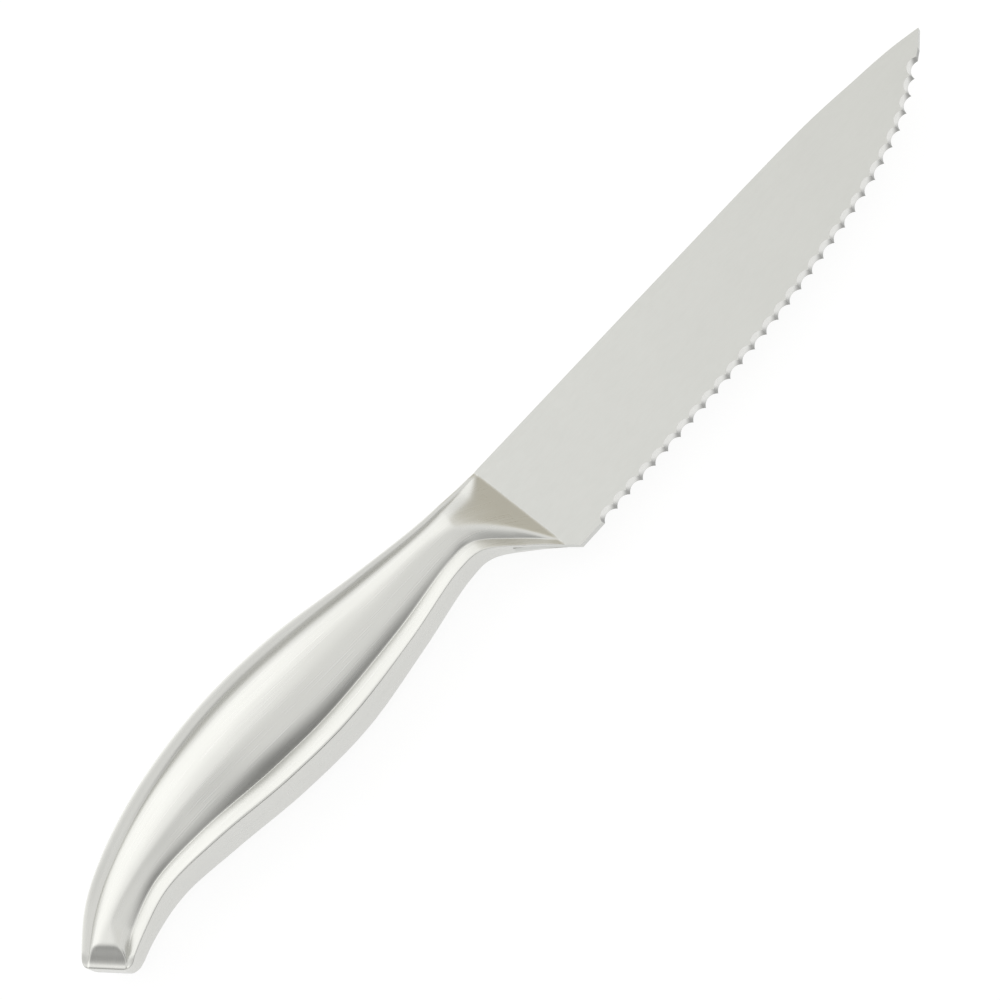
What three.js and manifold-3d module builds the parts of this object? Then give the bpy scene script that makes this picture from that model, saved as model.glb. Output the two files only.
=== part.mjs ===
// A serrated steak knife made all of stainless steel: a stamped blade with a tang, two pressed half shells
// that make the hollow handle, the weld runs that join them to each other and to the blade, and the cement
// that holds the tang. Millimetres. X runs from the butt to the tip, Y from the edge up to the spine and Z
// through the thickness. While it is drawn, X = 0 lies at the plunge line, where the blade leaves the handle,
// and Z = 0 is the middle plane of the blade.
import * as THREE from 'three';
import { mergeVertices } from 'three/addons/utils/BufferGeometryUtils.js';
import Module from 'manifold-3d';

// Blade sizes
const BLADE_LENGTH = 114.6;
const BLADE_THICKNESS = 1.5;
const TIP_Y = -5.3;
const HEEL_X = 2.3;
const HEEL_Y = -25.6;
const HEEL_FLAT = 5.9;
const HEEL_SLOPE = THREE.MathUtils.degToRad(45);
const HEEL_HOLLOW = 0.8;
const BEND_X = -10.7;

// Spine and tooth line: points measured from the plunge line, then points measured from the tip
const SPINE_FROM_PLUNGE = [[0, 0.5], [50, -0.5]];
const SPINE_FROM_TIP = [[-30.6, 3.9], [-14.6, 2.4], [-6.6, 1.4]];
const EDGE_FROM_PLUNGE = [[36, -25], [60, -23.5]];
const EDGE_FROM_TIP = [[-30.6, -14.7], [-14.6, -9.9], [-3, -2.7]];

// Serrations: round gullets that meet in pointed teeth, ground deeper on the right side than on the left
const TOOTH_PITCH = 3.48;
const GULLET_DEPTH = 0.9;
const SCALLOP_RUNOUT = 0.5;
const GRINDER_LENGTH = 12;

// Tang inside the handle
const TANG_LENGTH = 48;
const TANG_TOP = -2.6;
const TANG_HEIGHT = 7;
const TANG_HOLE = 3.6;
const TANG_HOLE_FROM_END = 7;
const SPINE_SHOULDER = 3;
const BELLY_SHOULDER = 6.5;

// Handle sizes
const HANDLE_LENGTH = 116.8;
const SHEET = 1;
const SEAM_WIDTH = 0.8;
const CROWN_POWER = 2.8;
const BUTT_STEP = THREE.MathUtils.degToRad(40);
const BUTT_RIM = 0.9;
const BUTT_RIM_HEIGHT = 1.9;
const NOSE_RAMP = THREE.MathUtils.degToRad(20);

// Sections of the handle. side is half the thickness at the outline. The rims are the rounded margins that
// roll down by dip into the grooves beside the crown, and rise is how far the crown stands above the outline.
// ridge is where the crown is highest, as a share of its width from the spine side.
const SECTIONS_FROM_BUTT = [
  {
    spine: [0, -9.2], belly: [6.4, -16.9], side: 2.1, dip: 0.15, rise: 1.6,
    spineRim: 1.3, bellyRim: 0.8, ridge: 0.5,
  },
  {
    spine: [8.7, -1.25], belly: [12.8, -14.3], side: 2.5, dip: 0.5, rise: 1.2,
    spineRim: 2.3, bellyRim: 2.8, ridge: 0.47,
  },
  {
    spine: [18.8, 3.2], belly: [21.8, -12.2], side: 3.6, dip: 0.8, rise: 1.1,
    spineRim: 2.2, bellyRim: 3.4, ridge: 0.7,
  },
  {
    spine: [32.8, 6.6], belly: [34.8, -13.3], side: 4.4, dip: 0.95, rise: 1.7,
    spineRim: 2.1, bellyRim: 4, ridge: 0.7,
  },
];
const SECTIONS_FROM_PLUNGE = [
  {
    spine: [-66, 8.2], belly: [-65, -15.8], side: 4.45, dip: 1.15, rise: 2.8,
    spineRim: 2.3, bellyRim: 4.4, ridge: 0.54,
  },
  {
    spine: [-49, 7], belly: [-49, -16.6], side: 4.25, dip: 1.15, rise: 2.4,
    spineRim: 2.3, bellyRim: 4.5, ridge: 0.48,
  },
  {
    spine: [-31, 3.6], belly: [-31, -14.5], side: 3.4, dip: 1, rise: 1.9,
    spineRim: 1.6, bellyRim: 3.8, ridge: 0.46,
  },
  {
    spine: [-16, 0.9], belly: [-16, -12.05], side: 3.1, dip: 0.8, rise: 1.3,
    spineRim: 1.2, bellyRim: 3, ridge: 0.46,
  },
];

// Nose sections, whose belly ends lie on the sloping heel line
const NOSE_SECTIONS = [
  {
    spine: [-10.5, 0.4], bellyX: BEND_X, side: 2.8, dip: 0.7, rise: 1.4,
    spineRim: 1, bellyRim: 2.9, ridge: 0.56,
  },
  {
    spine: [-5.5, 0.4], bellyX: -4.2, side: 1.7, dip: 0.35, rise: 1.4,
    spineRim: 0.8, bellyRim: 2.5, ridge: 0.55,
  },
  {
    spine: [-1, 0.5], bellyX: 0.6, side: 0.95, dip: 0.1, rise: 1.2,
    spineRim: 0.7, bellyRim: 1.7, ridge: 0.5,
  },
];

// Weld runs and cement
const NOSE_WELD_LEG = 2.2;
const WELD_GAP = 0.1;
const CEMENT_GAP = 0.3;
const CEMENT_BEHIND_TANG = 6;
const POCKET_GAP = 0.3;

// Fineness of the curved surfaces
const STEPS_PER_SECTION = 4;
const RIM_STEPS = 3;
const CROWN_STEPS = 12;
const OUTLINE_STEPS = 24;
const HEEL_STEPS = 6;
const GRINDER_SIDES = 24;
const HOLE_SIDES = 20;

// Reach of the cutting bodies, past the knife's ends and below it
const FAR = BLADE_LENGTH + HANDLE_LENGTH;
const DEEP = 30;

const BLADE_HALF = BLADE_THICKNESS / 2;
const SEAM_HALF = SEAM_WIDTH / 2;
const TANG_BOTTOM = TANG_TOP - TANG_HEIGHT;
const UP = new THREE.Vector3(0, 0, 1);

const wasm = await Module();
wasm.setup();

// Solids and meshes
function solid(geometry) {
  const bare = geometry.clone();
  bare.deleteAttribute('normal');
  bare.deleteAttribute('uv');
  const merged = mergeVertices(bare);
  const vertProperties = new Float32Array(merged.attributes.position.array);
  const triVerts = new Uint32Array(merged.index.array);
  return new wasm.Manifold(new wasm.Mesh({ numProp: 3, vertProperties, triVerts }));
}

function geometryOf(body) {
  const { vertProperties, triVerts } = body.getMesh();
  const geometry = new THREE.BufferGeometry();
  geometry.setAttribute('position', new THREE.BufferAttribute(vertProperties, 3));
  geometry.setIndex(new THREE.BufferAttribute(triVerts, 1));
  return geometry;
}

function mirrored(geometry) {
  const copy = geometry.clone().scale(1, 1, -1);
  const corners = copy.index.array;
  for (let i = 0; i < corners.length; i += 3) {
    [corners[i + 1], corners[i + 2]] = [corners[i + 2], corners[i + 1]];
  }
  return copy;
}

function named(name, geometry, material) {
  const flat = geometry.toNonIndexed();
  flat.computeVertexNormals();
  const mesh = new THREE.Mesh(flat, material);
  mesh.name = name;
  return mesh;
}

function slab(points, low, high) {
  const shape = new THREE.Shape(points.map(([x, y]) => new THREE.Vector2(x, y)));
  return new THREE.ExtrudeGeometry(shape, { depth: high - low, bevelEnabled: false }).translate(0, 0, low);
}

// A straight bar whose outline is given as [distance from a line, height], running along that line
function bar(points, origin, inward) {
  const along = new THREE.Vector3().crossVectors(inward, UP);
  const geometry = slab(points, -FAR, FAR);
  geometry.applyMatrix4(new THREE.Matrix4().makeBasis(inward, UP, along));
  return geometry.translate(origin.x, origin.y, 0);
}

// The sloping heel of the blade, slightly hollow, which the belly of the handle joins at the bend
function heelLine(x) {
  const share = (HEEL_X - x) / (HEEL_X - BEND_X);
  return HEEL_Y + (HEEL_X - x) * Math.tan(HEEL_SLOPE) + 4 * HEEL_HOLLOW * share * (1 - share);
}

// Smooth curves through the sections of the handle, all read by the same position from 0 at the butt to 1
const sections = [
  ...SECTIONS_FROM_BUTT.map((section) => ({
    ...section,
    spine: [section.spine[0] - HANDLE_LENGTH, section.spine[1]],
    belly: [section.belly[0] - HANDLE_LENGTH, section.belly[1]],
  })),
  ...SECTIONS_FROM_PLUNGE,
  ...NOSE_SECTIONS.map((section) => ({ ...section, belly: [section.bellyX, heelLine(section.bellyX)] })),
];

function curveThrough(read) {
  return new THREE.CatmullRomCurve3(sections.map((section) => new THREE.Vector3(...read(section))));
}

const spineCurve = curveThrough(({ spine }) => [...spine, 0]);
const bellyCurve = curveThrough(({ belly }) => [...belly, 0]);
const heightCurve = curveThrough(({ side, dip, rise }) => [side, dip, rise]);
const rimCurve = curveThrough(({ spineRim, bellyRim, ridge }) => [spineRim, bellyRim, ridge]);
const positions = [];
const positionCount = (sections.length - 1) * STEPS_PER_SECTION;
for (let i = 0; i <= positionCount; i += 1) {
  positions.push(i / positionCount);
}

// Half of the handle's section as [distance from the spine, height]: a rim that rolls down into a groove, the
// domed crown, and the other groove and rim
function profile(position) {
  const width = spineCurve.getPoint(position).distanceTo(bellyCurve.getPoint(position));
  const { x: side, y: dip, z: rise } = heightCurve.getPoint(position);
  const { x: spineRim, y: bellyRim, z: ridge } = rimCurve.getPoint(position);
  const crownWidth = width - spineRim - bellyRim;
  const top = spineRim + ridge * crownWidth;
  const spineSide = [];
  const crown = [];
  const bellySide = [];
  for (let i = 0; i < RIM_STEPS; i += 1) {
    const share = i / RIM_STEPS;
    spineSide.push([share * spineRim, side - dip * share ** 2]);
    bellySide.unshift([width - share * bellyRim, side - dip * share ** 2]);
  }
  for (let i = 0; i <= CROWN_STEPS; i += 1) {
    const across = -Math.cos((Math.PI * i) / CROWN_STEPS);
    const height = side - dip + (dip + rise) * (1 - Math.abs(across) ** CROWN_POWER);
    const reach = across < 0 ? ridge * crownWidth : (1 - ridge) * crownWidth;
    crown.push([top + across * reach, height]);
  }
  return [...spineSide, ...crown, ...bellySide];
}

// A closed body through the sections, whose lower face lies well below the knife
function handleBody() {
  const rings = positions.map((position) => {
    const top = profile(position);
    const first = top[0];
    const last = top[top.length - 1];
    return [[first[0], -DEEP], ...top, [last[0], -DEEP]];
  });
  const count = rings[0].length;
  const vertices = [];
  rings.forEach((ring, row) => {
    const spine = spineCurve.getPoint(positions[row]);
    const across = bellyCurve.getPoint(positions[row]).sub(spine).normalize();
    ring.forEach(([distance, height]) => {
      vertices.push(spine.x + across.x * distance, spine.y + across.y * distance, height);
    });
  });
  const faces = [];
  for (let row = 0; row + 1 < rings.length; row += 1) {
    for (let i = 0; i < count; i += 1) {
      const here = row * count + i;
      const beside = row * count + ((i + 1) % count);
      faces.push(here, beside, beside + count, here, beside + count, here + count);
    }
  }
  const lastRow = (rings.length - 1) * count;
  const flatRing = (ring) => ring.map(([distance, height]) => new THREE.Vector2(distance, height));
  THREE.ShapeUtils.triangulateShape(flatRing(rings[0]), []).forEach(([a, b, c]) => faces.push(a, b, c));
  THREE.ShapeUtils.triangulateShape(flatRing(rings[rings.length - 1]), []).forEach(([a, b, c]) => {
    faces.push(lastRow + a, lastRow + c, lastRow + b);
  });
  const geometry = new THREE.BufferGeometry();
  geometry.setAttribute('position', new THREE.Float32BufferAttribute(vertices, 3));
  geometry.setIndex(faces);
  return solid(geometry);
}

// The plunge line and the butt line, each with the direction into the handle
const plungeStart = spineCurve.getPoint(1);
const plungeAlong = bellyCurve.getPoint(1).sub(plungeStart).normalize();
const plungeInward = new THREE.Vector3(plungeAlong.y, -plungeAlong.x, 0);
const buttStart = spineCurve.getPoint(0);
const buttAlong = bellyCurve.getPoint(0).sub(buttStart).normalize();
const buttInward = new THREE.Vector3(-buttAlong.y, buttAlong.x, 0);

function rampHeight(distance, inset) {
  return BLADE_HALF + distance * Math.tan(NOSE_RAMP) - inset / Math.cos(NOSE_RAMP);
}

// What the nose ramp takes away: all that lies above a plane rising from the plunge line
function aboveRamp(inset) {
  const low = rampHeight(-FAR, inset);
  const high = rampHeight(FAR, inset);
  return solid(bar([[-FAR, low], [FAR, high], [-FAR, high]], plungeStart, plungeInward));
}

// All that lies outside a line, or less than a distance inside it
function outsideOf(origin, inward, distance) {
  return solid(bar([[-FAR, -FAR], [distance, -FAR], [distance, FAR], [-FAR, FAR]], origin, inward));
}

// What the step round the butt takes away: the crown stops there and leaves a low rim
function aboveButtRim(inset) {
  const rim = BUTT_RIM + inset * Math.tan(BUTT_STEP / 2);
  const height = BUTT_RIM_HEIGHT - inset;
  const top = height + FAR * Math.tan(BUTT_STEP);
  const points = [[-FAR, height], [rim, height], [rim + FAR, top], [-FAR, top]];
  return solid(bar(points, buttStart, buttInward));
}

// Outline of the handle seen from the side, or a line further in
function planOutline(inset) {
  const spineSide = [];
  const bellySide = [];
  positions.forEach((position) => {
    const spine = spineCurve.getPoint(position);
    const belly = bellyCurve.getPoint(position);
    const across = belly.clone().sub(spine).normalize().multiplyScalar(inset);
    spineSide.push([spine.x + across.x, spine.y + across.y]);
    bellySide.unshift([belly.x - across.x, belly.y - across.y]);
  });
  return [...spineSide, ...bellySide];
}

// The hollow of the handle, or the room inside it that keeps a further gap to the walls
function hollow(inset) {
  const roof = solid(geometryOf(handleBody()).translate(0, 0, -inset));
  const room = solid(slab(planOutline(inset), -DEEP, DEEP));
  const beyondButt = outsideOf(buttStart, buttInward, inset);
  const inside = roof.intersect(room).subtract(beyondButt);
  return inside.subtract(aboveRamp(inset)).subtract(aboveButtRim(inset));
}

function below(height) {
  return solid(slab([[-FAR, -FAR], [FAR, -FAR], [FAR, FAR], [-FAR, FAR]], -2 * DEEP, height));
}

// The room for the tang and the blade's root, open towards the blade
function rootPocket(gap, low, high) {
  const points = [
    [FAR, FAR],
    [-SPINE_SHOULDER - gap, FAR],
    [-SPINE_SHOULDER - gap, TANG_TOP + gap],
    [-TANG_LENGTH - gap, TANG_TOP + gap],
    [-TANG_LENGTH - gap, TANG_BOTTOM - gap],
    [-BELLY_SHOULDER - gap, TANG_BOTTOM - gap],
    [-BELLY_SHOULDER - gap, -FAR],
    [FAR, -FAR],
  ];
  return solid(slab(points, low, high));
}

// Blade: stamped outline with the tang, the tang's hole and the ground gullets
function fromTip(points) {
  return points.map(([x, y]) => new THREE.Vector2(BLADE_LENGTH + x, TIP_Y + y));
}

function fromPlunge(points) {
  return points.map(([x, y]) => new THREE.Vector2(x, y));
}

function bladeSolid() {
  const tip = new THREE.Vector2(BLADE_LENGTH, TIP_Y);
  const heelEnd = new THREE.Vector2(HEEL_X + HEEL_FLAT, HEEL_Y);
  const spine = new THREE.SplineCurve([...fromPlunge(SPINE_FROM_PLUNGE), ...fromTip(SPINE_FROM_TIP), tip]);
  const edge = new THREE.SplineCurve([heelEnd, ...fromPlunge(EDGE_FROM_PLUNGE), ...fromTip(EDGE_FROM_TIP)]);
  const spineY = SPINE_FROM_PLUNGE[0][1];
  const tangRadius = TANG_HEIGHT / 2;
  const shape = new THREE.Shape();
  shape.moveTo(-SPINE_SHOULDER, spineY);
  spine.getPoints(OUTLINE_STEPS).forEach((point) => shape.lineTo(point.x, point.y));
  edge.getPoints(OUTLINE_STEPS).reverse().forEach((point) => shape.lineTo(point.x, point.y));
  for (let i = 0; i <= HEEL_STEPS; i += 1) {
    const x = HEEL_X - ((HEEL_X + BELLY_SHOULDER) * i) / HEEL_STEPS;
    shape.lineTo(x, heelLine(x));
  }
  shape.lineTo(-BELLY_SHOULDER, TANG_BOTTOM);
  shape.absarc(tangRadius - TANG_LENGTH, TANG_TOP - tangRadius, tangRadius, -Math.PI / 2, Math.PI / 2, true);
  shape.lineTo(-SPINE_SHOULDER, TANG_TOP);
  const plate = new THREE.ExtrudeGeometry(shape, { depth: BLADE_THICKNESS, bevelEnabled: false });
  const hole = new THREE.CylinderGeometry(TANG_HOLE / 2, TANG_HOLE / 2, 2 * BLADE_THICKNESS, HOLE_SIDES);
  hole.rotateX(Math.PI / 2).translate(TANG_HOLE_FROM_END - TANG_LENGTH, TANG_TOP - tangRadius, 0);
  const body = solid(plate.translate(0, 0, -BLADE_HALF)).subtract(solid(hole));
  return gulletCutters(edge).reduce((blade, cutter) => blade.subtract(cutter), body);
}

// One tilted round cutter for each gullet. Its radius makes neighbouring gullets meet on the tooth line.
function gulletCutters(edge) {
  const radius = GULLET_DEPTH / 2 + TOOTH_PITCH ** 2 / (8 * GULLET_DEPTH);
  const tilt = Math.atan(SCALLOP_RUNOUT / BLADE_THICKNESS);
  const length = edge.getLength();
  const count = Math.floor(length / TOOTH_PITCH);
  const cutters = [];
  for (let i = 0; i < count; i += 1) {
    const share = ((i + 0.5) * TOOTH_PITCH) / length;
    const point = edge.getPointAt(share);
    const along = edge.getTangentAt(share);
    const grinder = new THREE.CylinderGeometry(radius, radius, GRINDER_LENGTH, GRINDER_SIDES);
    grinder.rotateX(Math.PI / 2 - tilt);
    grinder.translate(0, GULLET_DEPTH - radius + BLADE_HALF * Math.tan(tilt), 0);
    grinder.rotateZ(Math.atan2(along.y, along.x));
    cutters.push(solid(grinder.translate(point.x, point.y, 0)));
  }
  return cutters;
}

// Right half shell; the left one is its mirror image
function shellSolid() {
  const outside = handleBody().subtract(aboveRamp(0)).subtract(aboveButtRim(0)).subtract(below(SEAM_HALF));
  const pocket = rootPocket(POCKET_GAP, -BLADE_HALF, BLADE_HALF);
  const noseWeld = outsideOf(plungeStart, plungeInward, NOSE_WELD_LEG + WELD_GAP);
  return outside.subtract(hollow(SHEET)).subtract(pocket).subtract(noseWeld);
}

// Seam run between the half shells, along the spine, round the butt and along the belly
function seamSolid() {
  const strip = solid(slab(planOutline(0), -SEAM_HALF, SEAM_HALF));
  const beyondButt = outsideOf(buttStart, buttInward, SHEET);
  const inside = solid(slab(planOutline(SHEET), -SEAM_WIDTH, SEAM_WIDTH)).subtract(beyondButt);
  return strip.subtract(inside).subtract(rootPocket(POCKET_GAP, -SEAM_WIDTH, SEAM_WIDTH));
}

// Weld run that fills the toe of the right nose ramp, dressed flush with it
function noseWeldSolid() {
  const toe = [[0, BLADE_HALF], [NOSE_WELD_LEG, BLADE_HALF], [NOSE_WELD_LEG, rampHeight(NOSE_WELD_LEG, 0)]];
  return handleBody().intersect(solid(bar(toe, plungeStart, plungeInward)));
}

// Cement cast round the tang in the front of the hollow
function cementSolid() {
  const underRight = hollow(SHEET + CEMENT_GAP);
  const whole = underRight.intersect(solid(mirrored(geometryOf(underRight))));
  const rear = -TANG_LENGTH - CEMENT_BEHIND_TANG;
  const behind = solid(slab([[-FAR, -FAR], [rear, -FAR], [rear, FAR], [-FAR, FAR]], -FAR, FAR));
  const tang = rootPocket(CEMENT_GAP, -BLADE_HALF - CEMENT_GAP, BLADE_HALF + CEMENT_GAP);
  return whole.subtract(behind).subtract(tang);
}

// Materials
const bladeSteel = new THREE.MeshStandardMaterial({ color: 0xd2d3ce, roughness: 0.42, metalness: 1 });
const shellSteel = new THREE.MeshStandardMaterial({ color: 0xd8d8d2, roughness: 0.34, metalness: 1 });
const weldSteel = new THREE.MeshStandardMaterial({ color: 0xc9c8c0, roughness: 0.38, metalness: 1 });
const cementGrey = new THREE.MeshStandardMaterial({ color: 0x8f8b82, roughness: 0.95, metalness: 0 });

const shell = geometryOf(shellSolid());
const noseWeld = geometryOf(noseWeldSolid());
const knife = new THREE.Group();
knife.add(
  named('blade', geometryOf(bladeSolid()), bladeSteel),
  named('handle_shell_right', shell, shellSteel),
  named('handle_shell_left', mirrored(shell), shellSteel.clone()),
  named('seam_weld', geometryOf(seamSolid()), weldSteel),
  named('nose_weld_right', noseWeld, weldSteel.clone()),
  named('nose_weld_left', mirrored(noseWeld), weldSteel.clone()),
  named('tang_cement', geometryOf(cementSolid()), cementGrey),
);

// The origin lies under the middle of the knife, on the surface that it lies on
const box = new THREE.Box3().setFromObject(knife);
const middle = box.getCenter(new THREE.Vector3());
knife.position.set(-middle.x, -middle.y, -box.min.z);

export default knife;
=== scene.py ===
import math

import bmesh
import bpy
import numpy as np
from mathutils import Matrix, Vector


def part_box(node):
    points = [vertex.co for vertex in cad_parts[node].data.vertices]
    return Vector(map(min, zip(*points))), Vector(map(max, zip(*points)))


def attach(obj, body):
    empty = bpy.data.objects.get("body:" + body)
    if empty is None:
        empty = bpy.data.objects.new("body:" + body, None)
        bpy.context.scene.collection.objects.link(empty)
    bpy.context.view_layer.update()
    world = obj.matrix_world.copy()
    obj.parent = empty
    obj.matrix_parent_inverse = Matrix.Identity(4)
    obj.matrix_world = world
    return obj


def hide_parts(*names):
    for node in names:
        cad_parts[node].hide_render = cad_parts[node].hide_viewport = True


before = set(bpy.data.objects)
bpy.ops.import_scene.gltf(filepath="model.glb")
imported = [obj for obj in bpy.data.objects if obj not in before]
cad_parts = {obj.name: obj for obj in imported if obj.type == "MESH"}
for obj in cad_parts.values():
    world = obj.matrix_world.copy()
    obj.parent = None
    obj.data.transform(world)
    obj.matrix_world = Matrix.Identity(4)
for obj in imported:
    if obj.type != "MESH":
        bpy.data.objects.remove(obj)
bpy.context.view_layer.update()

# Sizes are in millimetres. X runs from the butt to the tip with 0 at the plunge line, Y from the edge up to
# the spine, and Z through the thickness with 0 in the middle plane of the blade.
METRE = 1000

# Blade
BLADE_LENGTH = 114.6
BLADE_THICKNESS = 1.5
BLADE_HALF = BLADE_THICKNESS / 2
TIP = (114.6, -5.3)
SPINE_LINE = [(0, 0.5), (50, -0.5), (84, -1.4), (100, -2.9), (108, -3.9), TIP]
TOOTH_LINE = [(8.2, -25.6), (36, -25), (60, -23.5), (84, -20), (100, -15.2), (111.6, -8)]
LINE_STEPS = 48
HEEL = (2.3, -25.6)
HEEL_SLOPE = math.radians(45)
HEEL_HOLLOW = 0.8
HEEL_STEPS = 8
BEND_X = -10.7
SPINE_SHOULDER = 3
BELLY_SHOULDER = 6.5

# Tang
TANG_LENGTH = 48
TANG_TOP = -2.6
TANG_HEIGHT = 7
TANG_STEPS = 16
TANG_HOLE = 3.6
TANG_HOLE_FROM_END = 7
PUNCH_SIDES = 40

# Teeth: a tilted grinder cuts one gullet for each pitch, and the ground faces reach a little past the cut
TOOTH_PITCH = 3.48
GULLET_DEPTH = 0.9
SCALLOP_RUNOUT = 0.5
GRINDER_LENGTH = 12
GRINDER_SIDES = 64
GROUND_SHARE = 1.1
UPRIGHT = 0.9
TOOTH_DISTANCE = "from_tooth_line"
# Painted shade at the tooth points: full within the first distance of the tooth line and gone by the
# second, in millimetres
DARK_AT_TEETH = 0.4
BRIGHT_AWAY = 1.2

# Shells, seam and nose welds
SHEET = 1
SEAM_HALF = 0.4
NOSE_WELD_LEG = 2.2
HAIRLINE = 0.004

# Butt: a low rim, a hollow cove behind it, rounded corners and a rounded end edge
BUTT_STEP = math.radians(12)
BUTT_COVE = 3.2
BUTT_RIM = 0.9
BUTT_RIM_HEIGHT = 1.9
BUTT_CORNER = 1.6
BUTT_EDGE = 0.35
BUTT_WALL_POSITION = 0.016
COVE_ROUND = 0.8

# Nose ramp
NOSE_RAMP = math.radians(20)
RAMP_ROUND = 0.35
RAMP_TOE = 0.15
RAMP_DOME = 0.1
RAMP_REACH = 9.5

# Rims and grooves: exponents of the rolled rims, depth of the spine's groove as a share of the belly's
SPINE_ROLL = 3
BELLY_ROLL = 1.4
SPINE_DIP = 0.8
SPINE_GROOVE_ROUND = 0.08
BELLY_GROOVE_ROUND = 0.14

# Creases at the outline: the belly's swells where the handle is thicker than CREASE_SIDE
CREASE_ROUND = 0.2
CREASE_SWELL = 0.3
CREASE_SIDE = 3.5


def heel_line(x):
    share = (HEEL[0] - x) / (HEEL[0] - BEND_X)
    return HEEL[1] + (HEEL[0] - x) * math.tan(HEEL_SLOPE) + 4 * HEEL_HOLLOW * share * (1 - share)


# Handle sections from the butt to the plunge line: spine x and y; belly x and y; half thickness at the
# outline, depth of the rolled rims, rise of the crown; widths of the spine rim and the belly rim, where the
# crown is highest as a share of its width; how square its spine flank and its belly flank are
HANDLE_SECTIONS = np.array([
    (-116.8, -9.2, -110.4, -16.9, 2.1, 0.15, 1.6, 1.3, 0.8, 0.5, 5.5, 16),
    (-108.1, -1.25, -104, -14.3, 2.5, 0.55, 1.4, 2.3, 2.8, 0.55, 2.3, 1.8),
    (-98, 3.2, -95, -12.2, 3.6, 0.8, 1.1, 2.5, 3.4, 0.64, 2.2, 2),
    (-84, 6.6, -82, -13.3, 4.4, 0.95, 1.7, 2.4, 4, 0.62, 2.6, 2),
    (-66, 8.2, -65, -15.8, 4.45, 1.15, 2.8, 2.3, 4.4, 0.54, 2.8, 2.7),
    (-49, 7, -49, -16.6, 4.25, 1.15, 2.4, 2.3, 4.5, 0.48, 2.8, 2.8),
    (-31, 3.6, -31, -14.5, 3.4, 1, 1.9, 1.6, 3.8, 0.46, 2.6, 2.5),
    (-16, 0.9, -16, -12.05, 3.1, 0.65, 1.3, 1.2, 3, 0.46, 2.3, 2.2),
    (-10.5, 0.4, BEND_X, heel_line(BEND_X), 2.8, 0.5, 1.4, 1, 2.9, 0.56, 2.3, 2.1),
    (-5.5, 0.4, -4.2, heel_line(-4.2), 1.7, 0.35, 1.4, 0.8, 2.5, 0.55, 2.3, 2.1),
    (-1, 0.5, 0.6, heel_line(0.6), 0.95, 0.1, 1.2, 0.7, 1.7, 0.5, 2.3, 2.1),
])
SPINE, BELLY, HEIGHTS, RIMS, FLANKS = slice(0, 2), slice(2, 4), slice(4, 7), slice(7, 10), slice(10, 12)

# How finely the handle is divided: rows of each span, closer together towards the butt, and columns
ROWS_PER_SPAN = [30, 14, 16, 18, 18, 18, 16, 18, 20, 20]
BUTT_CROWDING = 1.6
NOSE_SPANS = (0.7, 1.0)
HALVINGS = 60
CREASE_TURN = np.linspace(0, math.pi / 2, 6)
CROWN_SWEEP = (1 - np.cos(np.linspace(0, math.pi, 45))) / 2
SPINE_RIM_COLUMNS = 8
BELLY_RIM_COLUMNS = 11
GROOVE_COLUMNS = 9
GROOVE_REACH = 0.5
RIMS_PER_GROOVE = 3
WALL_SHARES = np.array([0, 0.35, 0.7])

# Limits for what counts as one point, in millimetres on the curves and in metres in the meshes
SAME_STEP = 1e-4
DOUBLES = 2e-7
SEWN = 1e-6
SHARP_ANGLE = math.radians(34)

blade_low, blade_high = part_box("blade")
SHIFT = np.array([
    blade_high.x * METRE - BLADE_LENGTH,
    blade_high.y * METRE - SPINE_LINE[0][1],
    (blade_low.z + blade_high.z) / 2 * METRE,
])


def placed(points):
    """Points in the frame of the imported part, in metres."""
    return (np.asarray(points, dtype=float) + SHIFT) / METRE


# Smooth lines and surfaces
def section_curve(points, position):
    """A point on the centripetal curve through the points, at a position from 0 to 1."""
    last = len(points) - 1
    span = min(int(position * last), last - 1)
    share = position * last - span
    p1, p2 = points[span], points[span + 1]
    p0 = points[span - 1] if span > 0 else 2 * p1 - p2
    p3 = points[span + 2] if span + 2 <= last else 2 * p2 - p1
    d0, d1, d2 = (float(np.sum((b - a) ** 2)) ** 0.25 for a, b in ((p0, p1), (p1, p2), (p2, p3)))
    d1 = d1 if d1 > SAME_STEP else 1.0
    d0 = d0 if d0 > SAME_STEP else d1
    d2 = d2 if d2 > SAME_STEP else d1
    t1 = ((p1 - p0) / d0 - (p2 - p0) / (d0 + d1) + (p2 - p1) / d1) * d1
    t2 = ((p2 - p1) / d1 - (p3 - p1) / (d1 + d2) + (p3 - p2) / d2) * d1
    bend = -3 * p1 + 3 * p2 - 2 * t1 - t2
    twist = 2 * p1 - 2 * p2 + t1 + t2
    return p1 + t1 * share + bend * share ** 2 + twist * share ** 3


def even_curve(points, steps):
    """Points on the uniform curve through the points, as the blade's lines are drawn."""
    points = [np.array(point, dtype=float) for point in points]
    last = len(points) - 1
    made = []
    for step in range(steps + 1):
        place = last * step / steps
        span = min(int(place), last - 1)
        share = place - span
        p1, p2 = points[span], points[span + 1]
        p0 = points[max(span - 1, 0)]
        p3 = points[min(span + 2, last)]
        v0, v1 = (p2 - p0) / 2, (p3 - p1) / 2
        cubic = 2 * p1 - 2 * p2 + v0 + v1
        square = -3 * p1 + 3 * p2 - 2 * v0 - v1
        made.append(cubic * share ** 3 + square * share ** 2 + v0 * share + p1)
    return made


def blend_up(a, b, reach):
    """The higher of two surfaces, with a small hollow fillet between them."""
    overlap = np.maximum(reach - np.abs(a - b), 0) / reach
    return np.maximum(a, b) + overlap ** 2 * reach / 4


def blend_down(a, b, reach):
    """The lower of two surfaces, with a small round between them."""
    return -blend_up(-a, -b, reach)


# Handle
def handle_section(position):
    """Spine point, belly point, heights, rims and flanks at a position from the butt, 0, to the nose, 1."""
    groups = (SPINE, BELLY, HEIGHTS, RIMS, FLANKS)
    return [section_curve(HANDLE_SECTIONS[:, group], position) for group in groups]


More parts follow.
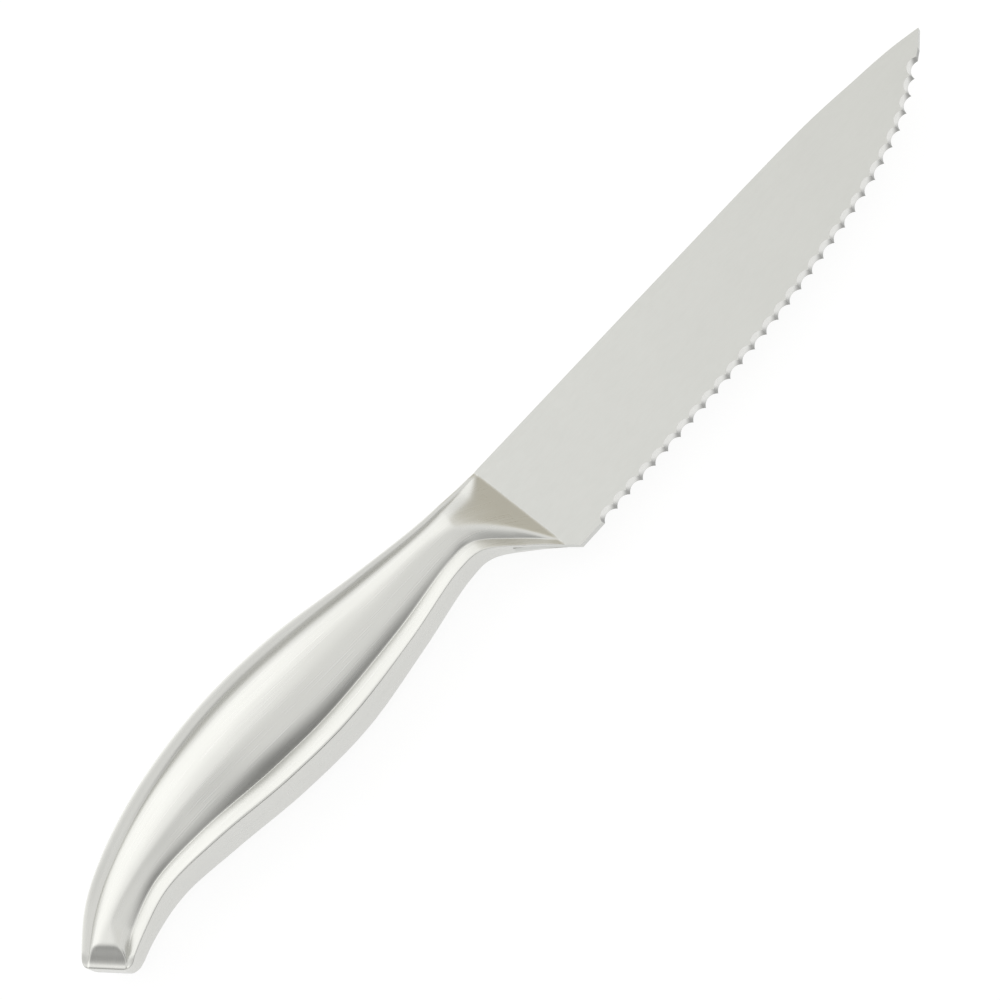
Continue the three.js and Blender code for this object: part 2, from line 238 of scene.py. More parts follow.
def line_inward(first, second, turn):
    along = (second - first) / np.linalg.norm(second - first)
    return np.array([turn * along[1], -turn * along[0]])


PLUNGE_START = HANDLE_SECTIONS[-1, SPINE]
PLUNGE_INWARD = line_inward(PLUNGE_START, HANDLE_SECTIONS[-1, BELLY], 1)
BUTT_START = HANDLE_SECTIONS[0, SPINE]
BUTT_INWARD = line_inward(BUTT_START, HANDLE_SECTIONS[0, BELLY], -1)


def from_plunge(points):
    """How far points lie behind the plunge line."""
    return (points - PLUNGE_START) @ PLUNGE_INWARD


def from_butt(points):
    """How far points lie in from the butt line."""
    return (points - BUTT_START) @ BUTT_INWARD


def corner_inset(place):
    """How far the rounded corner of the butt stands in from the outline at a place on it."""
    left = max(BUTT_CORNER - max(from_butt(place), 0), 0)
    return BUTT_CORNER - math.sqrt(BUTT_CORNER ** 2 - left ** 2)


def pressed_top(across, width, heights, rims, flanks):
    """Height of the rims, the grooves and the crown above the middle plane."""
    side, dip, rise = heights
    spine_rim, belly_rim, ridge = rims
    spine_roll = side - SPINE_DIP * dip * (across / spine_rim) ** SPINE_ROLL
    belly_roll = side - dip * ((width - across) / belly_rim) ** BELLY_ROLL
    crown_width = width - spine_rim - belly_rim
    from_ridge = (across - spine_rim) / crown_width - ridge
    on_spine_flank = from_ridge < 0
    reach = np.where(on_spine_flank, -from_ridge / ridge, from_ridge / (1 - ridge))
    fall = rise + dip * np.where(on_spine_flank, SPINE_DIP, 1)
    crown = side + rise - fall * reach ** np.where(on_spine_flank, *flanks)
    return blend_up(blend_up(spine_roll, crown, SPINE_GROOVE_ROUND), belly_roll, BELLY_GROOVE_ROUND)


def nose_ramp(points):
    """Height of the slightly domed ramp that climbs from the plunge line."""
    climb = np.sqrt(np.maximum(from_plunge(points), 0) ** 2 + RAMP_TOE ** 2) - RAMP_TOE
    return BLADE_HALF + climb * (math.tan(NOSE_RAMP) + RAMP_DOME * np.maximum(1 - climb / RAMP_REACH, 0))


def butt_cove(points):
    """Height of the low rim at the butt and of the cove that climbs from it."""
    past_rim = np.maximum(from_butt(points) - BUTT_RIM, 0)
    return BUTT_RIM_HEIGHT + past_rim * math.tan(BUTT_STEP) + past_rim ** 2 / (2 * BUTT_COVE)


def handle_top(points, across, width, heights, rims, flanks):
    """Height of the right half of the handle above the middle plane."""
    top = pressed_top(across, width, heights, rims, flanks)
    top = blend_down(top, nose_ramp(points), RAMP_ROUND)
    top = blend_down(top, butt_cove(points), COVE_ROUND)
    near_edge = np.clip(1 - from_butt(points) / BUTT_EDGE, 0, 1)
    return top - BUTT_EDGE * (1 - np.sqrt(1 - near_edge ** 2))


def across_places(low, high, rims, belly_crease):
    """Distances across one section, closer together at the creases and the grooves."""
    spine_rim, belly_rim = rims[0], rims[1]
    spine_groove = min(GROOVE_REACH, spine_rim / RIMS_PER_GROOVE)
    belly_groove = min(GROOVE_REACH, belly_rim / RIMS_PER_GROOVE)
    spine_rim_end = low + spine_rim - spine_groove
    belly_rim_end = high - belly_rim + belly_groove
    crown_low = low + spine_rim + spine_groove
    crown_high = high - belly_rim - belly_groove
    crease = 1 - np.cos(CREASE_TURN)
    return np.concatenate([
        low + CREASE_ROUND * crease,
        np.linspace(low + CREASE_ROUND, spine_rim_end, SPINE_RIM_COLUMNS)[1:],
        np.linspace(spine_rim_end, crown_low, GROOVE_COLUMNS)[1:],
        (crown_low + (crown_high - crown_low) * CROWN_SWEEP)[1:],
        np.linspace(crown_high, belly_rim_end, GROOVE_COLUMNS)[1:],
        np.linspace(belly_rim_end, high - belly_crease, BELLY_RIM_COLUMNS)[1:],
        (high - belly_crease * crease[::-1])[1:],
    ])


def handle_row(position, wall):
    """Points over one section of the right half, and on its sole below them, a wall's thickness inside."""
    spine, belly, heights, rims, flanks = handle_section(position)
    width = float(np.linalg.norm(belly - spine))
    along = (belly - spine) / width
    low = corner_inset(spine)
    high = width - corner_inset(belly)
    belly_crease = CREASE_ROUND + CREASE_SWELL * max(heights[0] - CREASE_SIDE, 0)
    across = across_places(low, high, rims, belly_crease)
    across = np.clip(across, max(low, wall), min(high, width - wall))
    points = spine + across[:, None] * along
    top = handle_top(points, across, width, heights, rims, flanks) - wall
    if not wall:
        drop = 1 - np.sin(CREASE_TURN)
        top[:len(drop)] -= CREASE_ROUND * drop
        top[-len(drop):] -= belly_crease * drop[::-1]
    nearer_spine = np.arange(len(across)) < len(across) // 2
    shoulder = np.where(nearer_spine, -SPINE_SHOULDER, -BELLY_SHOULDER)
    sole = np.where(points[:, 0] > shoulder, BLADE_HALF + HAIRLINE, SEAM_HALF)
    top = np.maximum(top, sole + HAIRLINE)
    spine_wall = sole[0] + (top[0] - sole[0]) * WALL_SHARES
    belly_wall = sole[-1] + (top[-1] - sole[-1]) * WALL_SHARES
    levels = np.concatenate([spine_wall, top, belly_wall[::-1]])
    extra = len(WALL_SHARES)
    places = np.pad(points, ((extra, extra), (0, 0)), mode="edge")
    soles = np.pad(sole, extra, mode="edge")
    return np.column_stack([places, levels]), np.column_stack([places, soles])


def position_where(read, target):
    """The position on the nose's spans at which a measured value comes down to the target."""
    low, high = NOSE_SPANS
    for _ in range(HALVINGS):
        middle = (low + high) / 2
        if read(middle) > target:
            low = middle
        else:
            high = middle
    return (low + high) / 2


def spine_distance(position):
    return -handle_section(position)[0][0]


def belly_distance(position):
    return -handle_section(position)[1][0]


def toe_distance(position):
    return float(from_plunge(handle_section(position)[0]))


def row_positions():
    """Positions of the handle's rows, with one on each side of the tang's shoulders."""
    spans = len(ROWS_PER_SPAN)
    positions = [0.0]
    for span, rows in enumerate(ROWS_PER_SPAN):
        for row in range(1, rows + 1):
            share = row / rows
            positions.append((span + (share ** BUTT_CROWDING if span == 0 else share)) / spans)
    for edge in (-HAIRLINE, HAIRLINE):
        positions.append(position_where(spine_distance, SPINE_SHOULDER + edge))
        positions.append(position_where(belly_distance, BELLY_SHOULDER + edge))
    return positions


SPLIT = position_where(toe_distance, NOSE_WELD_LEG)
POSITIONS = sorted({*row_positions(), SPLIT})


def shell_grid(positions, wall):
    """Rows of points over the right shell, closed at the butt, a wall's thickness inside."""
    rows = [handle_row(position, wall) for position in positions]
    butt_sole = rows[0][1]
    return np.array([butt_sole, *[row for row, _ in rows]])


def shell_grids():
    """The outside and the inside of the right shell."""
    outer = [position for position in POSITIONS if position <= SPLIT]
    inner = [BUTT_WALL_POSITION + (1 - BUTT_WALL_POSITION) * position for position in outer]
    return shell_grid(outer, 0), shell_grid(inner, SHEET)


def toe_grids():
    """The outside of the right nose weld, and its sole on the blade."""
    rows, soles = zip(*[handle_row(position, 0) for position in POSITIONS if position >= SPLIT])
    return np.array(rows), np.array(soles)


# Meshes
def in_scene(name, data):
    """A new object in the scene."""
    made = bpy.data.objects.new(name, data)
    bpy.context.scene.collection.objects.link(made)
    return made


def new_piece(name, mesh, node):
    """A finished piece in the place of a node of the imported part."""
    piece = in_scene(name, mesh)
    mesh.shade_smooth()
    mesh.set_sharp_from_angle(angle=SHARP_ANGLE)
    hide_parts(node)
    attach(piece, "root")


def cleaned(mesh):
    """The mesh with its doubles merged, needle faces gone and all faces pointing outwards."""
    made = bmesh.new()
    made.from_mesh(mesh)
    bmesh.ops.remove_doubles(made, verts=made.verts, dist=DOUBLES)
    bmesh.ops.dissolve_degenerate(made, edges=made.edges, dist=DOUBLES)
    bmesh.ops.recalc_face_normals(made, faces=made.faces)
    made.to_mesh(mesh)
    made.free()
    return mesh


# The brushed lines' place: along the handle, and round its girth as if that were the same everywhere
GRAIN = "grain_place"
GRAIN_GIRTH = 40


def grain_places(grid):
    """Places along the handle and round its girth, so that brushed lines follow its curve."""
    steps = np.linalg.norm(np.diff(grid, axis=1), axis=2)
    girth = np.pad(np.cumsum(steps, axis=1), ((0, 0), (1, 0)))
    around = GRAIN_GIRTH * girth / girth[:, -1:]
    along = np.broadcast_to(grid[:, :, 0].mean(axis=1, keepdims=True), around.shape)
    return np.stack([along, around, np.zeros_like(around)], axis=2) / METRE


def walled_mesh(name, outer, inner, mirror, material):
    """A closed mesh from an outer and an inner grid of points, joined along their borders."""
    rows, columns = outer.shape[:2]
    side = (1, 1, -1 if mirror else 1)
    points = placed(np.concatenate([outer.reshape(-1, 3), inner.reshape(-1, 3)]) * side)
    count = rows * columns
    faces = []
    for row in range(rows - 1):
        for column in range(columns - 1):
            a = row * columns + column
            quad = (a, a + 1, a + columns + 1, a + columns)
            faces.append(quad)
            faces.append(tuple(count + corner for corner in reversed(quad)))
    border = list(range(columns))
    border += [row * columns + columns - 1 for row in range(1, rows)]
    border += [(rows - 1) * columns + column for column in range(columns - 2, -1, -1)]
    border += [row * columns for row in range(rows - 2, 0, -1)]
    for a, b in zip(border, border[1:] + border[:1]):
        faces.append((a, count + a, count + b, b))
    mesh = bpy.data.meshes.new(name)
    mesh.from_pydata(points.tolist(), [], faces)
    mesh.materials.append(material)
    grain = mesh.attributes.new(GRAIN, "FLOAT_VECTOR", "POINT")
    grain.data.foreach_set("vector", np.tile(grain_places(outer).ravel(), 2))
    return cleaned(mesh)


# Nodes, for finishes, light and geometry. In the names of inputs an underscore stands for a space.
def feed(tree, socket, value):
    """Link an input to another node's output, or set it to a plain value."""
    if isinstance(value, bpy.types.NodeSocket):
        tree.links.new(value, socket)
    else:
        socket.default_value = value


def set_inputs(tree, node, **inputs):
    for label, value in inputs.items():
        feed(tree, node.inputs[label.replace("_", " ")], value)


def add_node(tree, kind, settings=None, **inputs):
    node = tree.nodes.new(kind)
    for key, value in (settings or {}).items():
        setattr(node, key, value)
    set_inputs(tree, node, **inputs)
    return node


def maths(tree, operation, *values):
    node = add_node(tree, "ShaderNodeMath", {"operation": operation})
    for socket, value in zip(node.inputs, values):
        feed(tree, socket, value)
    return node.outputs[0]


# Finishes
ROUGHNESS_SWING = 0.04
CLOUD_SCALE = 90.0


def new_material(name):
    """A new material with its tree and its shader."""
    material = bpy.data.materials.new(name)
    material.use_nodes = True
    return material, material.node_tree, material.node_tree.nodes["Principled BSDF"]


def satin_steel(name, colour, roughness, grain, grain_depth, cloud, follow=None):
    """Brushed steel with fine lines, straight or following an attribute, and soft clouds from polishing."""
    material, tree, shader = new_material(name)
    place = add_node(tree, "ShaderNodeTexCoord").outputs["Object"]
    line_place = place
    if follow:
        line_place = add_node(tree, "ShaderNodeAttribute", {"attribute_name": follow}).outputs["Vector"]
    stretched = add_node(tree, "ShaderNodeMapping", Vector=line_place, Scale=grain).outputs["Vector"]
    lines = add_node(tree, "ShaderNodeTexNoise", Vector=stretched, Scale=1.0, Detail=2.0, Roughness=0.5)
    line = lines.outputs["Fac"]
    clouds = add_node(tree, "ShaderNodeTexNoise", Vector=place, Scale=CLOUD_SCALE, Detail=3.0)
    tint = add_node(tree, "ShaderNodeMix", {"data_type": "RGBA"}, Factor=clouds.outputs["Fac"],
                    A=(*[channel * (1 - cloud) for channel in colour], 1),
                    B=(*[channel * (1 + cloud) for channel in colour], 1))
    rough = add_node(tree, "ShaderNodeMapRange", Value=line, From_Min=0.3, From_Max=0.7,
                     To_Min=roughness - ROUGHNESS_SWING, To_Max=roughness + ROUGHNESS_SWING)
    bump = add_node(tree, "ShaderNodeBump", Strength=1.0, Distance=grain_depth, Height=line)
    set_inputs(tree, shader, Metallic=1.0, Base_Color=tint.outputs["Result"],
               Roughness=rough.outputs["Result"], Normal=bump.outputs["Normal"])
    return material


def paint_shade_at_tooth_points(material, colour):
    """Paint shade at the tooth points: the finish goes over to a darker colour where the ground faces come
    near the tooth line.
    """
    tree = material.node_tree
    shader = tree.nodes["Principled BSDF"]
    ground = shader.inputs["Base Color"].links[0].from_socket
    distance = add_node(tree, "ShaderNodeAttribute", {"attribute_name": TOOTH_DISTANCE})
    soft = add_node(tree, "ShaderNodeMapRange", {"interpolation_type": "SMOOTHSTEP"},
                    Value=distance.outputs["Fac"],
                    From_Min=DARK_AT_TEETH / METRE, From_Max=BRIGHT_AWAY / METRE)
    mix = add_node(tree, "ShaderNodeMix", {"data_type": "RGBA"}, Factor=soft.outputs["Result"],
                   A=(*colour, 1), B=ground)
    set_inputs(tree, shader, Base_Color=mix.outputs["Result"])


def cast_cement(name):
    """Matt resin cement with a fine grit."""
    material, tree, shader = new_material(name)
    place = add_node(tree, "ShaderNodeTexCoord").outputs["Object"]
    grit = add_node(tree, "ShaderNodeTexNoise", Vector=place, Scale=1400.0, Detail=5.0).outputs["Fac"]
    tint = add_node(tree, "ShaderNodeMix", {"data_type": "RGBA"}, Factor=grit,
                    A=(0.24, 0.22, 0.19, 1), B=(0.32, 0.30, 0.27, 1))
    rough = add_node(tree, "ShaderNodeMapRange", Value=grit, To_Min=0.8, To_Max=1.0)
    bump = add_node(tree, "ShaderNodeBump", Distance=0.0001, Height=grit)
    set_inputs(tree, shader, Base_Color=tint.outputs["Result"], Roughness=rough.outputs["Result"],
               Normal=bump.outputs["Normal"])
    return material


BLADE_COLOUR = (0.617, 0.621, 0.6)
GROUND_COLOUR = (0.76, 0.76, 0.74)
# A dark colour painted onto the ground faces near the tooth line, as shade at the tooth points
TOOTH_POINT_PAINTED_SHADE = (0.33, 0.33, 0.32)
HANDLE_LOOK = {
    "colour": (0.66, 0.66, 0.635),
    "grain": (60, 3000, 300),
    "grain_depth": 2.2e-7,
    "cloud": 0.02,
}
blade_satin = satin_steel("satin blade steel", BLADE_COLOUR, roughness=0.42, grain=(500, 3200, 3200),
                          grain_depth=5e-7, cloud=0.015)
ground_steel = satin_steel("ground tooth steel", GROUND_COLOUR, roughness=0.3, grain=(3200, 700, 700),
                           grain_depth=4e-7, cloud=0.02)
# Painted shade at the tooth points of the ground steel
paint_shade_at_tooth_points(ground_steel, TOOTH_POINT_PAINTED_SHADE)
handle_satin = satin_steel("brushed handle steel", roughness=0.3, follow=GRAIN, **HANDLE_LOOK)
nose_satin = satin_steel("dressed nose weld steel", roughness=0.31, follow=GRAIN, **HANDLE_LOOK)
seam_satin = satin_steel("dressed seam weld steel", roughness=0.31, **HANDLE_LOOK)
cement_matt = cast_cement("matt tang cement")


# Geometry trees
class Tree:
    """A small helper that builds a geometry tree with named inputs."""

    def __init__(self, name, inputs):
        self.tree = bpy.data.node_groups.new(name, "GeometryNodeTree")
        face = self.tree.interface
        face.new_socket("Geometry", in_out="INPUT", socket_type="NodeSocketGeometry")
        self.sockets = {}
        for label, kind in inputs.items():
            self.sockets[label] = face.new_socket(label, in_out="INPUT", socket_type=kind).identifier
        face.new_socket("Geometry", in_out="OUTPUT", socket_type="NodeSocketGeometry")
        self.source = self.add("NodeGroupInput")
        self.sink = self.add("NodeGroupOutput")

    def add(self, kind, settings=None, **inputs):
        return add_node(self.tree, kind, settings, **inputs)

    def given(self, label):
        return self.source.outputs[label]

    def maths(self, operation, *values):
        return maths(self.tree, operation, *values)

    def vector(self, x=0.0, y=0.0, z=0.0):
        return self.add("ShaderNodeCombineXYZ", X=x, Y=y, Z=z).outputs[0]

    def plate(self, outline, thickness, floor):
        """A flat plate of that thickness over a closed outline, from the floor height up."""
        sheet = self.add("GeometryNodeFillCurve", {"mode": "NGONS"}, Curve=outline)
        raised = self.add("GeometryNodeExtrudeMesh", {"mode": "FACES"},
                          Mesh=sheet.outputs[0], Offset_Scale=thickness, Individual=False)
        under = self.add("GeometryNodeFlipFaces", Mesh=sheet.outputs[0])
        both = self.add("GeometryNodeJoinGeometry")
        feed(self.tree, both.inputs[0], raised.outputs[0])
        feed(self.tree, both.inputs[0], under.outputs[0])
        sewn = self.add("GeometryNodeMergeByDistance", Geometry=both.outputs[0], Distance=SEWN)
        set_down = self.add("GeometryNodeTransform", Geometry=sewn.outputs[0],
                            Translation=self.vector(z=floor))
        return set_down.outputs[0]

    def end(self, geometry, material, selection=None, second_material=None):
        real = self.add("GeometryNodeRealizeInstances", Geometry=geometry)
        painted = self.add("GeometryNodeSetMaterial", Geometry=real.outputs[0], Material=material)
        if second_material is not None:
            painted = self.add("GeometryNodeSetMaterial", Geometry=painted.outputs[0], Selection=selection,
                               Material=second_material)
        feed(self.tree, self.sink.inputs[0], painted.outputs[0])

    def made_mesh(self, source, name, values):
        """The plain mesh that the tree makes of the source object, which is then removed."""
        modifier = source.modifiers.new(self.tree.name, "NODES")
        modifier.node_group = self.tree
        for label, value in values.items():
            modifier[self.sockets[label]] = value
        graph = bpy.context.evaluated_depsgraph_get()
        mesh = bpy.data.meshes.new_from_object(source.evaluated_get(graph))
        mesh.name = name
        source.modifiers.remove(modifier)
        bpy.data.objects.remove(source)
        return cleaned(mesh)


def line_object(name, lines):
    """A curve object with one straight-sided line for each (points, closed)."""
    curve = bpy.data.curves.new(name, "CURVE")
    curve.dimensions = "3D"
    for points, closed in lines:
        spline = curve.splines.new("POLY")
        spline.points.add(len(points) - 1)
        for point, (x, y, z) in zip(spline.points, points):
            point.co = (x, y, z, 1)
        spline.use_cyclic_u = closed
    return in_scene(name, curve)


# Blade: the outline and the tooth line go into a tree that makes the plate and grinds the gullets
def blade_outline():
    """The closed outline of the blade with its tang, and the tooth line that is part of it."""
    spine = even_curve(SPINE_LINE, LINE_STEPS)
    teeth = even_curve(TOOTH_LINE, LINE_STEPS)
    outline = [(-SPINE_SHOULDER, SPINE_LINE[0][1]), *spine, *reversed(teeth)]
    for step in range(HEEL_STEPS + 1):
        x = HEEL[0] - (HEEL[0] + BELLY_SHOULDER) * step / HEEL_STEPS
        outline.append((x, heel_line(x)))
    outline.append((-BELLY_SHOULDER, TANG_TOP - TANG_HEIGHT))
    radius = TANG_HEIGHT / 2
    end_x, end_y = radius - TANG_LENGTH, TANG_TOP - radius
    for step in range(TANG_STEPS + 1):
        turn = -math.pi / 2 - math.pi * step / TANG_STEPS
        outline.append((end_x + radius * math.cos(turn), end_y + radius * math.sin(turn)))
    outline.append((-SPINE_SHOULDER, TANG_TOP))
    return outline, teeth


def blade_tree():
    number, whole = "NodeSocketFloat", "NodeSocketInt"
    tree = Tree("stamped blade with ground gullets", {
        "Plate thickness": number, "Plate floor": number, "Tooth pitch": number, "Gullets": whole,
        "Gullet radius": number, "Gullet reach": number, "Grinder tilt": number, "Grinder length": number,
        "Tang hole radius": number, "Tang hole place": "NodeSocketVector", "Steel": "NodeSocketMaterial",
        "Ground width": number, "Ground steel": "NodeSocketMaterial",
    })

    # The plate fills the closed line, and the open one carries a grinder in the middle of each pitch
    closed = tree.add("GeometryNodeInputSplineCyclic")
    lines = tree.add("GeometryNodeSeparateGeometry", {"domain": "CURVE"},
                     Geometry=tree.given("Geometry"), Selection=closed.outputs[0])
    plate = tree.plate(lines.outputs["Selection"], tree.given("Plate thickness"), tree.given("Plate floor"))
    index = tree.add("GeometryNodeInputIndex").outputs[0]
    run = tree.maths("MULTIPLY", tree.maths("ADD", index, 0.5), tree.given("Tooth pitch"))
    place = tree.add("GeometryNodeSampleCurve", {"mode": "LENGTH", "use_all_curves": True},
                     Curves=lines.outputs["Inverted"], Length=run)
    spots = tree.add("GeometryNodePoints", Count=tree.given("Gullets"), Position=place.outputs["Position"])
    turned = tree.add("FunctionNodeAlignRotationToVector", {"axis": "X", "pivot_axis": "Z"},
                      Vector=place.outputs["Tangent"])
    grinder = tree.add("GeometryNodeMeshCylinder", Vertices=GRINDER_SIDES,
                       Radius=tree.given("Gullet radius"), Depth=tree.given("Grinder length"))
    tilted = tree.add("GeometryNodeTransform", Geometry=grinder.outputs["Mesh"],
                      Translation=tree.vector(y=tree.given("Gullet reach")),
                      Rotation=tree.vector(x=tree.given("Grinder tilt")))
    grinders = tree.add("GeometryNodeInstanceOnPoints", Points=spots.outputs[0], Instance=tilted.outputs[0],
                        Rotation=turned.outputs[0])
    punch = tree.add("GeometryNodeMeshCylinder", Vertices=PUNCH_SIDES,
                     Radius=tree.given("Tang hole radius"), Depth=tree.given("Grinder length"))
    punched = tree.add("GeometryNodeTransform", Geometry=punch.outputs["Mesh"],
                       Translation=tree.given("Tang hole place"))
    cut = tree.add("GeometryNodeMeshBoolean", {"operation": "DIFFERENCE", "solver": "EXACT"})
    feed(tree.tree, cut.inputs["Mesh 1"], plate)
    feed(tree.tree, cut.inputs["Mesh 2"], grinders.outputs[0])
    feed(tree.tree, cut.inputs["Mesh 2"], punched.outputs[0])

    # Upright faces near the tooth line are the ground ones
    tooth_line = tree.add("GeometryNodeCurveToMesh", Curve=lines.outputs["Inverted"])
    point = tree.add("ShaderNodeSeparateXYZ", Vector=tree.add("GeometryNodeInputPosition").outputs[0])
    middle = tree.maths("MULTIPLY_ADD", tree.given("Plate thickness"), 0.5, tree.given("Plate floor"))
    flattened = tree.vector(point.outputs["X"], point.outputs["Y"], middle)
    near = tree.add("GeometryNodeProximity", {"target_element": "EDGES"}, Geometry=tooth_line.outputs[0],
                    Sample_Position=flattened)
    level = tree.add("ShaderNodeSeparateXYZ", Vector=tree.add("GeometryNodeInputNormal").outputs[0])
    upright = tree.maths("LESS_THAN", tree.maths("ABSOLUTE", level.outputs["Z"]), UPRIGHT)
    in_reach = tree.maths("LESS_THAN", near.outputs["Distance"], tree.given("Ground width"))
    ground = tree.maths("MULTIPLY", upright, in_reach)
    kept = tree.add("GeometryNodeStoreNamedAttribute", {"data_type": "FLOAT", "domain": "POINT"},
                    Geometry=cut.outputs[0], Name=TOOTH_DISTANCE, Value=near.outputs["Distance"])
    tree.end(kept.outputs[0], tree.given("Steel"), ground, tree.given("Ground steel"))
    return tree


def blade_mesh():
    outline, teeth = blade_outline()
    lines = line_object("blade lines", [
        (placed([(x, y, 0) for x, y in outline]), True),
        (placed([(x, y, 0) for x, y in teeth]), False),
    ])
    run = sum(float(np.linalg.norm(b - a)) for a, b in zip(teeth, teeth[1:]))
    radius = GULLET_DEPTH / 2 + TOOTH_PITCH ** 2 / (8 * GULLET_DEPTH)
    tilt = math.atan(SCALLOP_RUNOUT / BLADE_THICKNESS)
    hole = placed((TANG_HOLE_FROM_END - TANG_LENGTH, TANG_TOP - TANG_HEIGHT / 2, 0))
    return blade_tree().made_mesh(lines, "blade", {
        "Plate thickness": BLADE_THICKNESS / METRE,
        "Plate floor": float(placed((0, 0, -BLADE_HALF))[2]),
        "Tooth pitch": TOOTH_PITCH / METRE,
        "Gullets": int(run / TOOTH_PITCH),
        "Gullet radius": radius / METRE,
        "Gullet reach": (GULLET_DEPTH - radius + BLADE_HALF * math.tan(tilt)) / METRE,
        "Grinder tilt": -tilt,
        "Grinder length": GRINDER_LENGTH / METRE,
        "Tang hole radius": TANG_HOLE / 2 / METRE,
        "Tang hole place": hole.tolist(),
        "Steel": blade_satin,
        "Ground width": GROUND_SHARE * (GULLET_DEPTH + SCALLOP_RUNOUT) / METRE,
        "Ground steel": ground_steel,
    })


# Seam: one run along the spine, round the butt and along the belly
def seam_outline():
    spine_side, belly_side = [], []
    for position in POSITIONS:
        spine, belly = handle_section(position)[:2]
        along = (belly - spine) / np.linalg.norm(belly - spine)
        if spine[0] <= -SPINE_SHOULDER:
            spine_side.append((spine, along, corner_inset(spine)))
        if belly[0] <= -BELLY_SHOULDER:
            belly_side.append((belly, -along, corner_inset(belly)))
    outside = [place + along * inset for place, along, inset in [*reversed(spine_side), *belly_side]]
    inside = [
        place + along * max(inset, SHEET)
        for place, along, inset in [*reversed(belly_side), *spine_side]
        if from_butt(place) >= SHEET
    ]
    return [*outside, *inside]


def seam_tree():
    tree = Tree("weld run along a seam", {
        "Run width": "NodeSocketFloat", "Run floor": "NodeSocketFloat", "Steel": "NodeSocketMaterial",
    })
    run = tree.plate(tree.given("Geometry"), tree.given("Run width"), tree.given("Run floor"))
    tree.end(run, tree.given("Steel"))
    return tree


def seam_mesh():
    line = line_object("seam line", [(placed([(*point, 0) for point in seam_outline()]), True)])
    half = SEAM_HALF - HAIRLINE
    return seam_tree().made_mesh(line, "seam weld", {
        "Run width": 2 * half / METRE,
        "Run floor": float(placed((0, 0, -half))[2]),
        "Steel": seam_satin,
    })


# Pieces
new_piece("blade_with_teeth", blade_mesh(), "blade")
new_piece("seam_run", seam_mesh(), "seam_weld")
right_shell, right_toe = shell_grids(), toe_grids()
for side_name, mirror in (("right", False), ("left", True)):
    shell = walled_mesh(f"{side_name} shell", *right_shell, mirror, handle_satin)
    new_piece(f"{side_name}_half_shell", shell, f"handle_shell_{side_name}")
    toe = walled_mesh(f"{side_name} toe", *right_toe, mirror, nose_satin)
    new_piece(f"{side_name}_nose_run", toe, f"nose_weld_{side_name}")
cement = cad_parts["tang_cement"]
cement.data.materials.clear()
cement.data.materials.append(cement_matt)


# Floor, light and camera, in metres
FLOOR_HALF = 3.0
FLOOR_GLOW = 0.85


def pale_floor():
    """A floor that shines a little by itself, so that it stays white under the knife."""
    low, high = -FLOOR_HALF, FLOOR_HALF
    mesh = bpy.data.meshes.new("pale floor")
    mesh.from_pydata([(low, low, 0), (high, low, 0), (high, high, 0), (low, high, 0)], [], [(0, 1, 2, 3)])
    floor = in_scene("pale_floor", mesh)
    material, tree, shader = new_material("pale floor paint")
    set_inputs(tree, shader, Base_Color=(0.2, 0.2, 0.2, 1), Roughness=1.0, Specular_IOR_Level=0.0,
               Emission_Color=(1, 1, 1, 1), Emission_Strength=FLOOR_GLOW)
    mesh.materials.append(material)


# Patches of the tent: direction, cosines of the angles where it starts and where it is full, what it adds
TENT_STRENGTH = 1.0
TENT_COLOUR = (1.0, 1.0, 0.99, 1)
TENT_PATCHES = [
    ((-0.2, 0.85, 0.49), 0.74, 0.93, 0.5),
    ((0, -0.996, 0.087), 0.68, 1.0, -0.85),
    ((0.68, 0.454, 0.58), 0.88, 1.0, -0.32),
    ((-0.87, -0.22, 0.43), 0.7, 1.0, -0.5),
    ((0.45, 0.78, 0.43), 0.86, 1.0, -0.25),
    ((-0.6, 0.1, 0.8), 0.78, 1.0, -0.15),
]
WARM_COLOUR = (1.0, 0.94, 0.78, 1)
WARM_PATCH = ((0.68, 0.454, 0.58), 0.86, 1.0, 1.0)


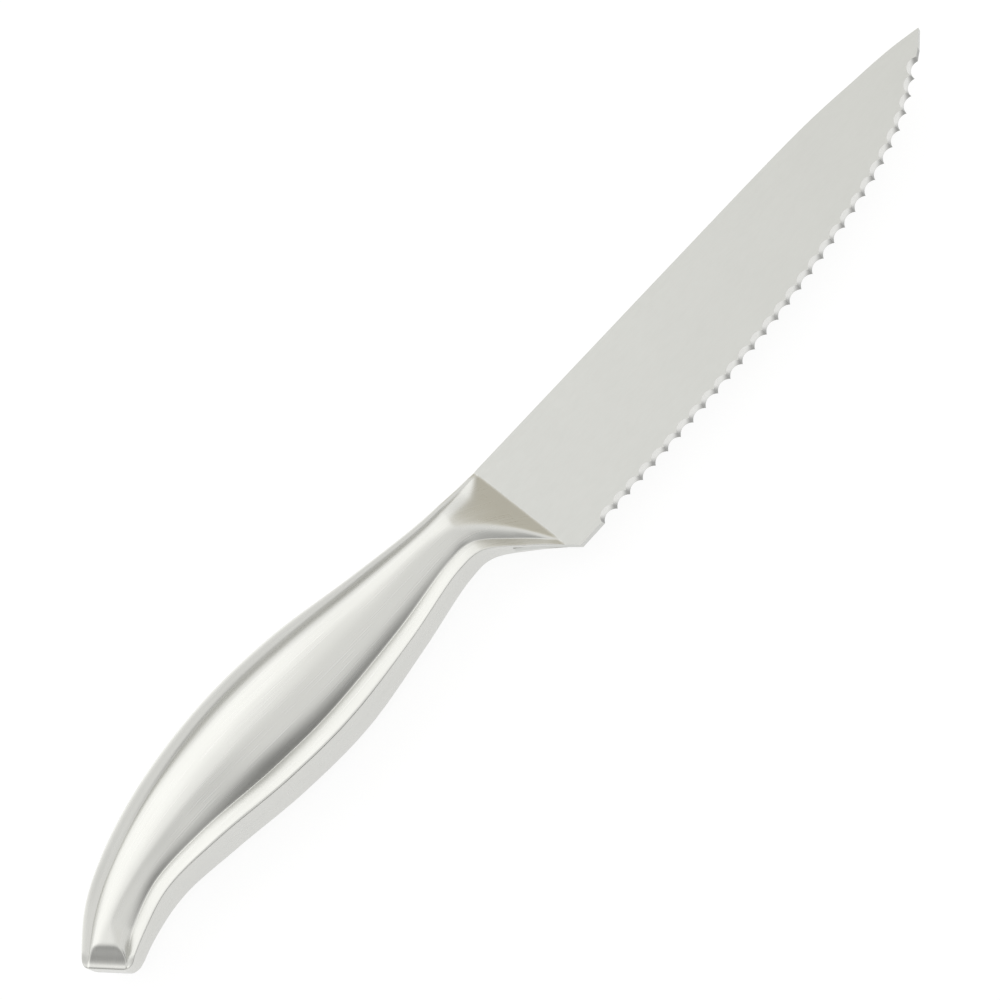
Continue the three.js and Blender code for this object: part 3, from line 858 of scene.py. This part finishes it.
def studio_light():
    """A pale tent: a bright soft box over the spine, a dark room on the camera's side, weak shades."""
    world = bpy.data.worlds.new("studio tent")
    bpy.context.scene.world = world
    world.use_nodes = True
    tree = world.node_tree
    place = add_node(tree, "ShaderNodeTexCoord").outputs["Generated"]

    def patch(direction, start, end, amount):
        aim = add_node(tree, "ShaderNodeVectorMath", {"operation": "DOT_PRODUCT"})
        feed(tree, aim.inputs[0], place)
        feed(tree, aim.inputs[1], Vector(direction).normalized())
        soft = add_node(tree, "ShaderNodeMapRange", {"interpolation_type": "SMOOTHSTEP"},
                        Value=aim.outputs["Value"], From_Min=start, From_Max=end, To_Min=0.0, To_Max=amount)
        return soft.outputs["Result"]

    strength = TENT_STRENGTH
    for values in TENT_PATCHES:
        strength = maths(tree, "ADD", strength, patch(*values))
    tint = add_node(tree, "ShaderNodeMix", {"data_type": "RGBA"}, Factor=patch(*WARM_PATCH),
                    A=TENT_COLOUR, B=WARM_COLOUR)
    set_inputs(tree, tree.nodes["Background"], Color=tint.outputs["Result"], Strength=strength)


CAMERA_RISE = math.radians(63)
CAMERA_ROLL = math.radians(47.6)
LENS = 120.0
SENSOR_WIDTH = 36.0
VIEW_WIDTH = 0.1841
VIEW_CENTRE = (-1.585, -6.936, 0)
NEAREST, FARTHEST = 0.01, 20.0


def photo_camera():
    """The photograph's view: from above the edge, turned so that the knife points to the upper right."""
    back = Vector((0, -math.cos(CAMERA_RISE), math.sin(CAMERA_RISE)))
    over = Vector((0, math.sin(CAMERA_RISE), math.cos(CAMERA_RISE)))
    along = Vector((1, 0, 0))
    right = along * math.cos(CAMERA_ROLL) - over * math.sin(CAMERA_ROLL)
    up = along * math.sin(CAMERA_ROLL) + over * math.cos(CAMERA_ROLL)
    target = Vector(placed(VIEW_CENTRE))
    data = bpy.data.cameras.new("photo camera")
    data.lens = LENS
    data.sensor_width = SENSOR_WIDTH
    data.clip_start = NEAREST
    data.clip_end = FARTHEST
    camera = in_scene("photo camera", data)
    turn = Matrix((right, up, back)).transposed().to_4x4()
    distance = VIEW_WIDTH * LENS / SENSOR_WIDTH
    camera.matrix_world = Matrix.Translation(target + back * distance) @ turn
    bpy.context.scene.camera = camera


pale_floor()
studio_light()
photo_camera()
bpy.context.scene.view_settings.view_transform = "Standard"
